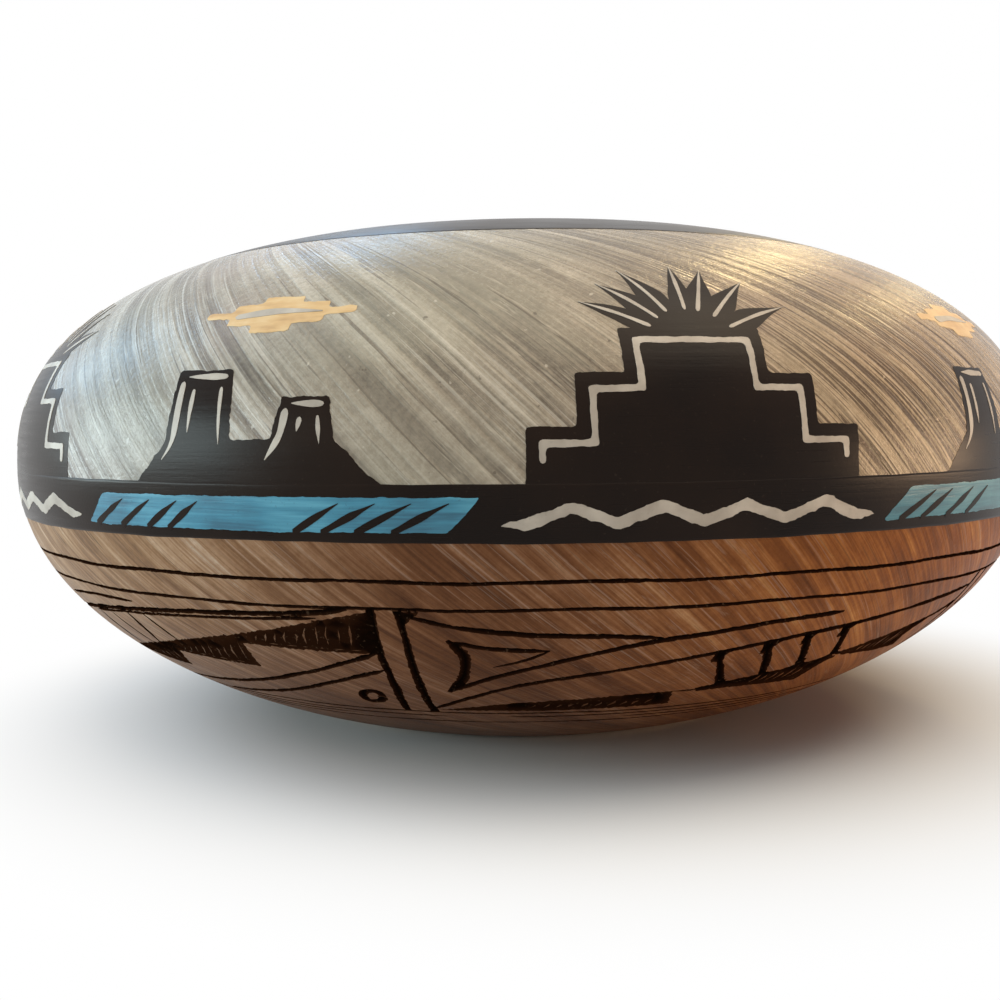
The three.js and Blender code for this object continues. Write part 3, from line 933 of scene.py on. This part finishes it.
def stroke(points, width, start=0.7, end=0.1):
    """The outline of one brush stroke along a smooth line: it starts round, wavers and runs out thinner."""
    line = np.array([tuple(p) for p in smooth_line(points)])
    length = np.concatenate([[0], np.cumsum(np.hypot(*np.diff(line, axis=0).T))])
    at = np.linspace(0, length[-1], max(8, int(length[-1] / FILM_STEP)))
    line = np.stack([np.interp(at, length, line[:, k]) for k in (0, 1)], axis=1)
    ahead = np.gradient(line, axis=0)
    ahead /= np.hypot(ahead[:, 0], ahead[:, 1])[:, None]
    across = np.stack([-ahead[:, 1], ahead[:, 0]], axis=1)
    share = at / at[-1]
    full = np.minimum(1, np.minimum(start + at / width, end + (1 - share) * 2.2)) * width / 2
    full = full * (1 + 0.12 * np.sin(share * film_random.uniform(5, 11) + film_random.uniform(0, 6)))
    left, right = line + across * full[:, None], line - across * full[:, None]
    nose = line[:1] - ahead[:1] * full[0] * 0.7
    return np.concatenate([nose, left, right[::-1]])


def inside_loops(points, loops):
    """Which points lie inside any of the closed loops."""
    inside = np.zeros(len(points), bool)
    for loop in loops:
        near = inside_box(points, loop)
        inside[near] |= inside_outline(points[near], loop)
    return inside


def film_sheet(loops, fill):
    """Triangles of everything inside any of the closed loops, with points spread evenly between the edges."""
    points, edges = [], []
    for loop in loops:
        first = len(points)
        points += [tuple(p) for p in loop]
        edges += [(first + i, first + (i + 1) % len(loop)) for i in range(len(loop))]
    tree = point_tree(points)
    low, high = np.min(points, axis=0), np.max(points, axis=0)
    grid = np.array([
        (x, y) for row, y in enumerate(np.arange(low[1], high[1], fill))
        for x in np.arange(low[0] + fill * (row % 2) / 2, high[0], fill)
    ])
    points += [tuple(p) for p in grid[inside_loops(grid, loops)] if tree.find((*p, 0))[2] > 0.5 * fill]
    made, faces, _ = triangles(points, edges)
    faces = faces[inside_loops(made[faces].mean(axis=1), loops)]
    used = np.unique(faces)
    index = np.zeros(len(made), int)
    index[used] = np.arange(len(used))
    return made[used], index[faces]


def film(name, loops, turn, slot, nodes=(), ground=0.0, thick=PAINT_LIFT, fill=FILM_FILL):
    """A film of paint inside closed loops of (along, arc), centred at a turn: a thin closed sheet."""
    flat, faces = film_sheet(loops, fill)
    pairs = {}
    for a, b, c in faces:
        for pair in ((a, b), (b, c), (c, a)):
            pairs[pair] = pair[::-1] not in pairs
            if not pairs[pair]:
                pairs[pair[::-1]] = False
    rim = [pair for pair, single in pairs.items() if single]
    along, arcs = flat.T
    turns = turn + np.arcsin(along / along_profile(arcs)[0])
    points = [*on_pot(turns, arcs, ground + thick), *on_pot(turns, arcs, ground - FILM_SINK)]
    count = len(flat)
    under = [[c + count, b + count, a + count] for a, b, c in faces]
    walls = [[b, a, a + count, b + count] for a, b in rim]
    piece = new_piece(name, points, faces.tolist() + under + walls, slot, *nodes)
    keep_normals(piece, (on_pot(turns, arcs, 1.0) - on_pot(turns, arcs))[faces])


shader, place = new_finish("turquoise_paint", roughness=0.34)
rounds = (place * (0.5, 0.5, 12)).noise(150, 3, 0.6)
clouding = place.noise(110, 3)
grain = place.noise(2200)
tone = (rounds * 0.6 + clouding * 0.5).ramp(
    (0.38, (38, 97, 122)), (0.55, (56, 132, 160)), (0.72, (84, 158, 184)))
tone = overlaid(tone, (grain.between(0.64, 0.74), 0.3, (36, 74, 92)))
# Painted light: the stripe is dimmed and warmed on the pot's right, where warm light falls.
painted_warm_light = sideways(place).between(*WARM_LIGHT_REACH)
painted_warm_light.mix(tone, tone * (0.95, 0.76, 0.66)).to(shader, "Base Color")
(rounds * 0.15 + 0.26).to(shader, "Roughness")
(rounds + grain * 0.3).bump(0.25, 0.2 * MM).to(shader, "Normal")

half = STRIPE_LENGTH / 2
inset = half - STRIPE_SLANT
stripe = [(-half, STRIPE_FOOT), (inset, STRIPE_FOOT), (half, STRIPE_TOP), (-inset, STRIPE_TOP)]
stripe_middle = (STRIPE_TOP + STRIPE_FOOT) / 2
for number, turn in repeats(FIRST_BUTTES):
    nodes = [f"turquoise_stripe_{number}"]
    film(f"stripe_paint_{number}", [hand_drawn(stripe)], turn, "turquoise_paint", nodes, BELT_LIFT)
    barbs = []
    for end in (-1, 1):
        for k in range(BARBS):
            at = end * (half - BARB_MARGIN - BARB_PITCH * k) + film_random.uniform(-0.6, 0.6) * MM
            lean = (3.4 + film_random.uniform(-0.5, 0.5)) * MM
            barb = [
                (at - lean, STRIPE_FOOT),
                (at - 0.1 * lean, stripe_middle - 0.3 * MM),
                (at + lean * 0.8, STRIPE_TOP - 0.7 * MM),
            ]
            barbs.append(stroke(barb, BARB_STROKE, 1.0, 0.1))
    film(f"stripe_barbs_{number}", barbs, turn, "black_paint", ground=BELT_LIFT + PAINT_LIFT)

# The painted terraces: large black marks of three steps, with a fan of pointed feathers on top. Each is
# filled in with a broad brush, and has white lines drawn over it with a thin one.
TERRACE_STEPS = (21 * MM, 15 * MM, 9 * MM)
TERRACE_STEP_HEIGHT = 6.4 * MM
TERRACE_TOP = len(TERRACE_STEPS) * TERRACE_STEP_HEIGHT
MARK_FOOT = -0.5 * MM
CONTOUR_FOOT = 2.2 * MM
CONTOUR_INSETS = (1.5 * MM, 2.3 * MM)
FEATHERS = 7
FEATHER_SPREAD = math.radians(108)
FEATHER_LENGTH = 15.5 * MM
FEATHER_WIDTH = 3.3 * MM
FEATHER_SINK = 3.2 * MM
FAN_CENTRE = TERRACE_TOP - FEATHER_SINK
QUILL_WIDTH = 0.5 * MM
STROKE_LIFT = 0.05 * MM
STROKE_FILL = 0.42 * MM


def terrace_steps(inset=0.0, foot=MARK_FOOT):
    """The line over a terrace's steps from its left foot to its right one, drawn in by an inset."""
    right = []
    for i, half_width in enumerate(TERRACE_STEPS):
        low = foot if i == 0 else i * TERRACE_STEP_HEIGHT - inset
        right += [(half_width - inset, low), (half_width - inset, (i + 1) * TERRACE_STEP_HEIGHT - inset)]
    return [(-x, y) for x, y in right] + right[::-1]


def feather_line(k):
    """One feather's middle line, from the fan's centre out to its tip, bent a little by the hand."""
    angle = FEATHER_SPREAD * (k / (FEATHERS - 1) - 0.5) + film_random.uniform(-0.03, 0.03)
    reach = FEATHER_LENGTH * film_random.uniform(0.94, 1.02)
    bend = 0.16 * angle + film_random.uniform(-0.03, 0.03)
    line = []
    for share in (0.1, 0.4, 0.7, 1.0):
        lean = angle + bend * share
        line.append((share * reach * math.sin(lean), FAN_CENTRE + share * reach * math.cos(lean)))
    return line


def white_film(name, loops, turn, ground, *nodes):
    """Thin white brush lines over other paint."""
    film(name, loops, turn, "white_paint", nodes, ground, STROKE_LIFT, STROKE_FILL)


shader, place = new_finish("white_paint", roughness=0.45)
clouding = place.noise(260, 3)
grain = place.noise(2000)
tone = clouding.ramp((0.3, (158, 147, 136)), (0.55, (181, 171, 160)), (0.75, (200, 191, 180)))
overlaid(tone, (grain.between(0.62, 0.76), 0.3, (148, 136, 125))).to(shader, "Base Color")
(clouding * 0.2 + 0.34).to(shader, "Roughness")
(clouding + grain * 0.4).bump(0.25, 0.2 * MM).to(shader, "Normal")

for number, turn in repeats(FIRST_TERRACE):
    feathers = [feather_line(k) for k in range(FEATHERS)]
    loops = [hand_drawn(terrace_steps()), *[stroke(line, FEATHER_WIDTH, 0.5, 0.0) for line in feathers]]
    film(f"terrace_paint_{number}", loops, turn, "black_paint", [f"painted_terrace_{number}"])
    outer, inner = [terrace_steps(inset, CONTOUR_FOOT) for inset in CONTOUR_INSETS]
    loops = [hand_drawn(outer + inner[::-1], 0.06 * MM)]
    loops += [stroke(line[1:], QUILL_WIDTH, 0.6, 0.05) for line in feathers]
    white_film(f"terrace_lines_{number}", loops, turn, PAINT_LIFT)

# The zigzags: white lines of low teeth along the belt under each terrace, drawn in one go with a loaded
# brush, so they are thicker where the brush turns and run out to a point.
ZIGZAG_LENGTH = 42 * MM
ZIGZAG_TEETH = 4
ZIGZAG_RISE = 2 * MM
ZIGZAG_STROKE = 1.5 * MM
ZIGZAG_FOOT = BELT_FOOT_ARC + 1.6 * MM
ZIGZAG_TAIL = 3 * MM

half = ZIGZAG_LENGTH / 2
pitch = ZIGZAG_LENGTH / ZIGZAG_TEETH / 2
lower = [(-half + k * pitch, ZIGZAG_FOOT + (k % 2) * ZIGZAG_RISE) for k in range(2 * ZIGZAG_TEETH + 1)]
upper = [(x, y + ZIGZAG_STROKE) for x, y in reversed(lower)]
tail, tail_height = half + ZIGZAG_TAIL, ZIGZAG_FOOT + ZIGZAG_STROKE / 2
zigzag = [(-tail, tail_height), *lower, (tail, tail_height), *upper]
for number, turn in repeats(FIRST_TERRACE):
    loops = [hand_drawn(zigzag, 0.1 * MM, 3)]
    white_film(f"zigzag_paint_{number}", loops, turn, BELT_LIFT, f"white_zigzag_{number}")

# The painted buttes: two flat-topped rocks on one skirt of rubble, in the same black, with a few white
# strokes for the light on their edges and layers.
BUTTE_FEET = (-18 * MM, 18 * MM)
BUTTE_SKIRT = 5.2 * MM
BUTTE_LEAN = 0.9 * MM
TALL_BUTTE = (-11.5 * MM, -3 * MM, 14.2 * MM)
LOW_BUTTE = (4.5 * MM, 11 * MM, 10.4 * MM)

buttes = [(BUTTE_FEET[0], MARK_FOOT)]
for left, right, top in (TALL_BUTTE, LOW_BUTTE):
    buttes += [(left - BUTTE_LEAN, BUTTE_SKIRT), (left, top), (right, top), (right + BUTTE_LEAN, BUTTE_SKIRT)]
buttes.append((BUTTE_FEET[1], MARK_FOOT))


def butte_strokes(left, right, top):
    """The white strokes on one rock: along its top, down its left edge, and two short ones on its face."""
    crown = [(right - 0.8 * MM, top - 0.9 * MM), (left + 1.6 * MM, top - 0.8 * MM)]
    edge = [
        (left + 0.9 * MM, top - 1.6 * MM),
        (left + 0.3 * MM, BUTTE_SKIRT + 0.5 * MM),
        (left - 1.6 * MM, BUTTE_SKIRT - 2.4 * MM),
    ]
    crack = [(left + 2.9 * MM, top - 2.6 * MM), (left + 2.6 * MM, BUTTE_SKIRT + 1 * MM)]
    flank = [(right - 1.3 * MM, top - 2.4 * MM), (right - 0.9 * MM, BUTTE_SKIRT - 0.5 * MM)]
    widths = (0.8 * MM, 0.9 * MM, 0.6 * MM, 0.5 * MM)
    return [stroke(line, width) for line, width in zip((crown, edge, crack, flank), widths)]


for number, turn in repeats(FIRST_BUTTES):
    loops = [hand_drawn(buttes, 0.12 * MM)]
    film(f"butte_paint_{number}", loops, turn, "black_paint", [f"painted_buttes_{number}"])
    loops = butte_strokes(*TALL_BUTTE) + butte_strokes(*LOW_BUTTE)
    white_film(f"butte_lines_{number}", loops, turn, PAINT_LIFT)

# The cloud bars: ochre marks of layers that step in above and below the widest, over each pair of buttes,
# brushed over once more with thin white while wet.
CLOUD_HEIGHT = 23 * MM
CLOUD_HALF_WIDTHS = (11 * MM, 7 * MM, 3 * MM)
CLOUD_LAYER = 1.3 * MM
CLOUD_STROKE = 1.1 * MM

shader, place = new_finish("ochre_paint", roughness=0.45)
clouding = place.noise(220, 3)
bristles = (place * (0.7, 0.7, 6)).noise(240, 3, 0.6)
tone = (clouding * 0.6 + bristles * 0.5).ramp(
    (0.38, (186, 144, 92)), (0.55, (212, 174, 120)), (0.74, (226, 198, 152)))
tone.to(shader, "Base Color")
(bristles * 0.2 + 0.34).to(shader, "Roughness")
(bristles + clouding * 0.5).bump(0.3, 0.2 * MM).to(shader, "Normal")

upper = []
for k, half_width in enumerate(CLOUD_HALF_WIDTHS):
    upper += [(half_width, (k - 0.5) * CLOUD_LAYER), (half_width, (k + 0.5) * CLOUD_LAYER)]
right = [(x, -y) for x, y in reversed(upper[2:])] + upper
cloud = [(x, y + CLOUD_HEIGHT) for x, y in right + [(-x, y) for x, y in reversed(right)]]
streak = [(-6 * MM, CLOUD_HEIGHT - 0.4 * MM), (0, CLOUD_HEIGHT + 0.3 * MM), (6.5 * MM, CLOUD_HEIGHT)]
for number, turn in repeats(FIRST_BUTTES):
    loops = [hand_drawn(cloud, 0.12 * MM)]
    film(f"cloud_paint_{number}", loops, turn, "ochre_paint", [f"cloud_bar_{number}"])
    white_film(f"cloud_streak_{number}", [stroke(streak, CLOUD_STROKE)], turn, PAINT_LIFT)

# The studio: a pale floor that fades into white, soft cool lamps on the left, soft warm ones on the right,
# small ones behind for the sheen on the shoulder, a wide one above, and the camera close by.
FLOOR_SIZE = 6.0
FLOOR_PALE = (0.7, 0.7, 0.7, 1)
FLOOR_FADE = (0.05, 0.12)
SHADOW_MIDDLE = (0.01, 0, 0)
AMBIENT = 0.2


def seen_ray(wire):
    """1 for rays that see the background straight, mirrored or through glass, 0 for those that light."""
    camera_ray = wire.make("ShaderNodeLightPath", out="Is Camera Ray")
    node = camera_ray.socket.node
    mirrored = camera_ray.maths("MAXIMUM", camera_ray, Wire(node.outputs["Is Glossy Ray"]))
    return mirrored.maths("MAXIMUM", mirrored, Wire(node.outputs["Is Transmission Ray"]))


shader, place = new_finish("floor", base_color=FLOOR_PALE, roughness=0.9, specular_ior_level=0.0)
ends = {0: place, 1: SHADOW_MIDDLE}
away = place.make("ShaderNodeVectorMath", {"operation": "DISTANCE"}, ends, out="Value")
white = place.make("ShaderNodeEmission")
fade = place.make("ShaderNodeMixShader", {}, {0: seen_ray(place) * away.between(*FLOOR_FADE), 2: white})
Wire(shader.outputs["BSDF"]).to(fade.socket.node, 1)
fade.to(finishes["floor"].node_tree.nodes["Material Output"], "Surface")
corners = [(x * FLOOR_SIZE / 2, y * FLOOR_SIZE / 2, 0) for x, y in ((-1, -1), (1, -1), (1, 1), (-1, 1))]
mesh = bpy.data.meshes.new("floor")
mesh.from_pydata(corners, [], [(0, 1, 2, 3)])
mesh.materials.append(finishes["floor"])
floor = bpy.data.objects.new("floor", mesh)
bpy.context.collection.objects.link(floor)

world = bpy.data.worlds.new("studio")
world.use_nodes = True
bpy.context.scene.world = world
background = world.node_tree.nodes["Background"]
background.inputs["Color"].default_value = (1, 1, 1, 1)
seen = seen_ray(Wire(background.outputs[0]))
(seen * (1 - AMBIENT) + AMBIENT).to(background, "Strength")


def softbox(name, side, height, width, tall, energy, tint):
    """A soft lamp a metre off, placed by its turn from behind the camera and its height in degrees."""
    data = bpy.data.lights.new(name, "AREA")
    data.shape = "RECTANGLE"
    data.size, data.size_y = width, tall
    data.energy, data.color = energy, tint
    lamp = bpy.data.objects.new(name, data)
    a, e = math.radians(side), math.radians(height)
    away = Vector((math.sin(a) * math.cos(e), -math.cos(a) * math.cos(e), math.sin(e)))
    lamp.location = Vector((0, 0, BELLY_HEIGHT)) + away
    lamp.rotation_euler = away.to_track_quat("Z", "Y").to_euler()
    bpy.context.collection.objects.link(lamp)


softbox("window_left", -114, 28, 0.36, 0.44, 2.2, (0.42, 0.72, 1.0))
softbox("window_back", -165, 37, 0.16, 0.12, 0.42, (0.35, 0.65, 1.0))
softbox("window_high", -85, 55, 0.5, 0.5, 1.15, (0.55, 0.8, 1.0))
softbox("bounce_left", -80, 9, 0.9, 0.3, 8.0, (0.8, 0.98, 1.0))
softbox("lamp_back", 153, 37, 0.12, 0.1, 1.0, (1.0, 0.74, 0.34))
softbox("lamp_far", 138, 30, 0.1, 0.08, 0.45, (1.0, 0.76, 0.34))
softbox("lamp_high", 85, 55, 0.5, 0.5, 2.2, (1.0, 0.8, 0.53))
softbox("lamp_right", 84, 1, 0.5, 0.12, 3.6, (1.0, 0.66, 0.4))
softbox("top_fill", 30, 74, 0.9, 0.9, 6.5, (1.0, 0.88, 0.69))

CAMERA_DISTANCE = 219.7 * MM
CAMERA_RISE = 6.7 * MM
CAMERA_LENS = 41.24
YAW, PITCH, ROLL = math.radians(1.078), math.radians(3.767), math.radians(0.66)
ahead = Vector((-math.sin(YAW) * math.cos(PITCH), math.cos(YAW) * math.cos(PITCH), -math.sin(PITCH)))
level = Vector((math.cos(YAW), math.sin(YAW), 0))
upright = level.cross(ahead)
right = math.cos(ROLL) * level - math.sin(ROLL) * upright
up = math.sin(ROLL) * level + math.cos(ROLL) * upright
camera_data = bpy.data.cameras.new("camera")
camera_data.lens = CAMERA_LENS
camera_data.sensor_width = 36
camera_data.clip_start = 0.01
camera = bpy.data.objects.new("camera", camera_data)
stand = Matrix.Translation((0, -CAMERA_DISTANCE, BELLY_HEIGHT + CAMERA_RISE))
camera.matrix_world = stand @ Matrix((right, up, -ahead)).transposed().to_4x4()
bpy.context.collection.objects.link(camera)
bpy.context.scene.camera = camera
bpy.context.scene.view_settings.view_transform = "Standard"
